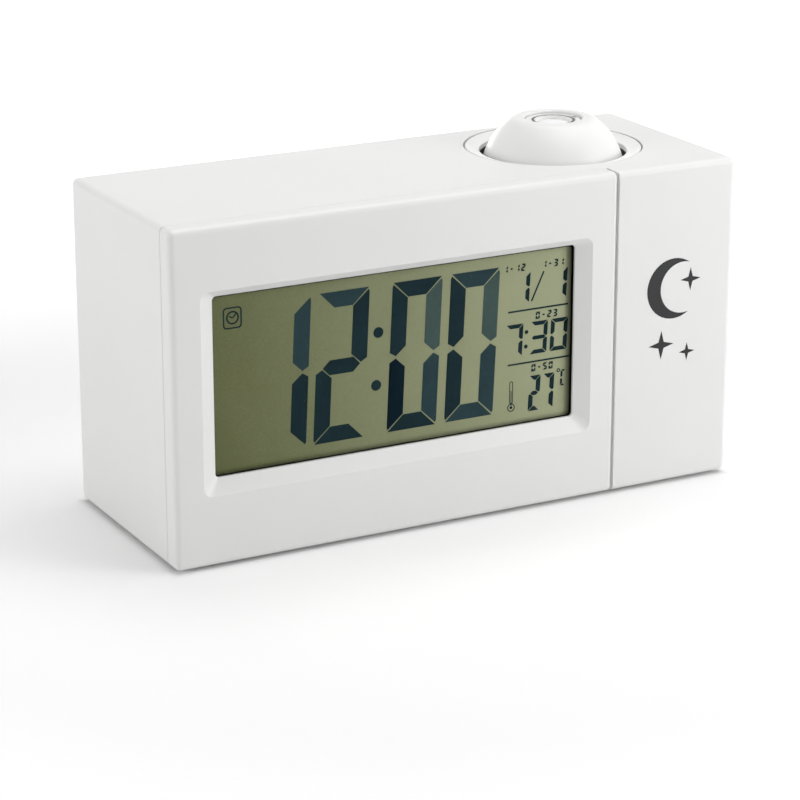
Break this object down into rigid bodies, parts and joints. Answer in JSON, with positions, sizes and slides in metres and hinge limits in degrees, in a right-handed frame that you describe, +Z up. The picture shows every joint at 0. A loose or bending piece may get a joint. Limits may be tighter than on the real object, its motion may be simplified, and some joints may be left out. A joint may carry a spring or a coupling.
{
  "type": "projection alarm clock",
  "caption": "Box-shaped desk alarm clock with a bevelled display window and a tilting, swivelling projector ball sunk in its top.",
  "frame": {"origin": "middle of the underside, at the soles of the feet, half way across the width and the depth", "axes": "+X to the right seen from the front, the display faces -Y, +Z up"},
  "size_m": [0.15, 0.057, 0.0882],
  "materials": {
    "white_plastic": "moulded white, satin gloss",
    "bezel_plastic": "moulded white, satin gloss",
    "rear_plastic": "moulded white, fine matt texture",
    "foot_rubber": "soft grey",
    "clear_window": "clear polished acrylic",
    "lcd_glass": "reflective display glass, olive grey",
    "light_guide": "milky white",
    "elastomer": "striped pink contact strip",
    "frame_plastic": "plain white",
    "board_laminate": "green solder mask",
    "black_epoxy": "black resin",
    "bright_metal": "bright nickel plate",
    "spring_steel": "plated spring steel",
    "screw_steel": "zinc plated",
    "ribbon_film": "flat white film",
    "speaker_black": "black cone and frame",
    "black_plastic": "black moulded",
    "battery_case": "plain painted sleeve",
    "ball_plastic": "polished white",
    "clear_lens": "polished clear",
    "key_plastic": "light grey caps",
    "knob_plastic": "dark grey"
  },
  "bodies": {
    "housing": {"main_shell": "white_plastic", "front_bezel": "bezel_plastic", "rear_cover": "rear_plastic", "rubber_feet": "foot_rubber", "display_window": "clear_window", "lcd_panel": "lcd_glass", "backlight_panel": "light_guide", "elastomer_strips": "elastomer", "lcd_frame": "frame_plastic", "main_board": "board_laminate", "controller_chip": "black_epoxy", "quartz_crystal": "bright_metal", "key_board": "board_laminate", "key_domes": "bright_metal", "switch_bodies": "bright_metal", "thermistor": "black_epoxy", "board_connectors": "frame_plastic", "ribbon_cable": "ribbon_film", "speaker": "speaker_black", "dc_socket": "black_plastic", "cover_screws": "screw_steel", "bezel_screws": "screw_steel", "board_screws": "screw_steel", "key_board_screws": "screw_steel", "batteries": "battery_case", "battery_plates": "bright_metal", "battery_springs": "spring_steel"},
    "door": {"battery_door": "rear_plastic"},
    "turntable": {"turntable": "white_plastic", "friction_washer": "black_plastic", "turntable_clip": "spring_steel"},
    "ball": {"ball_upper_shell": "ball_plastic", "ball_lower_shell": "ball_plastic", "ball_screws": "screw_steel", "projector_chassis": "black_plastic", "projection_lcd": "lcd_glass", "condenser_lens": "clear_lens", "led_board": "board_laminate", "projector_led": "clear_lens"},
    "focus_ring": {"focus_ring": "ball_plastic"},
    "lens": {"lens_barrel": "ball_plastic", "projection_lens": "clear_lens"},
    "mode_key": {"mode_button": "key_plastic"},
    "alarm_key": {"alarm_button": "key_plastic"},
    "up_key": {"up_button": "key_plastic"},
    "down_key": {"down_button": "key_plastic"},
    "light_key": {"light_button": "key_plastic"},
    "alarm_slider": {"alarm_switch": "knob_plastic"},
    "projector_slider": {"projector_switch": "knob_plastic"}
  },
  "joints": [
    {"name": "door_hinge", "type": "hinge", "parent": "housing", "child": "door", "pos_m": [-0.0325, 0.0265, 0.013], "axis": [-1, 0, 0], "range_deg": [0, 90]},
    {"name": "turret_turn", "type": "hinge", "parent": "housing", "child": "turntable", "pos_m": [0.0422, 0.0032, 0.0733], "axis": [0, 0, 1], "range_deg": [-170, 170]},
    {"name": "ball_tilt", "type": "hinge", "parent": "turntable", "child": "ball", "pos_m": [0.0422, 0.0032, 0.0733], "axis": [1, 0, 0], "range_deg": [-40, 40]},
    {"name": "focus_turn", "type": "hinge", "parent": "ball", "child": "focus_ring", "pos_m": [0.0422, 0.0032, 0.0733], "axis": [0, 0, 1], "range_deg": [0, 180]},
    {"name": "focus_slide", "type": "slide", "parent": "ball", "child": "lens", "axis": [0, 0, -1], "range_m": [0, 0.0015]},
    {"name": "mode_press", "type": "slide", "parent": "housing", "child": "mode_key", "axis": [0, -1, 0], "range_m": [0, 0.0008], "stiffness_N_per_m": 400},
    {"name": "alarm_press", "type": "slide", "parent": "housing", "child": "alarm_key", "axis": [0, -1, 0], "range_m": [0, 0.0008], "stiffness_N_per_m": 400},
    {"name": "up_press", "type": "slide", "parent": "housing", "child": "up_key", "axis": [0, -1, 0], "range_m": [0, 0.0008], "stiffness_N_per_m": 400},
    {"name": "down_press", "type": "slide", "parent": "housing", "child": "down_key", "axis": [0, -1, 0], "range_m": [0, 0.0008], "stiffness_N_per_m": 400},
    {"name": "light_press", "type": "slide", "parent": "housing", "child": "light_key", "axis": [0, -1, 0], "range_m": [0, 0.0008], "stiffness_N_per_m": 400},
    {"name": "alarm_slide", "type": "slide", "parent": "housing", "child": "alarm_slider", "axis": [1, 0, 0], "range_m": [0, 0.004]},
    {"name": "projector_slide", "type": "slide", "parent": "housing", "child": "projector_slider", "axis": [1, 0, 0], "range_m": [0, 0.004]}
  ],
  "couplings": [
    {"joint": "focus_turn", "follows": "focus_slide", "rad_per_m": 2094}
  ]
}
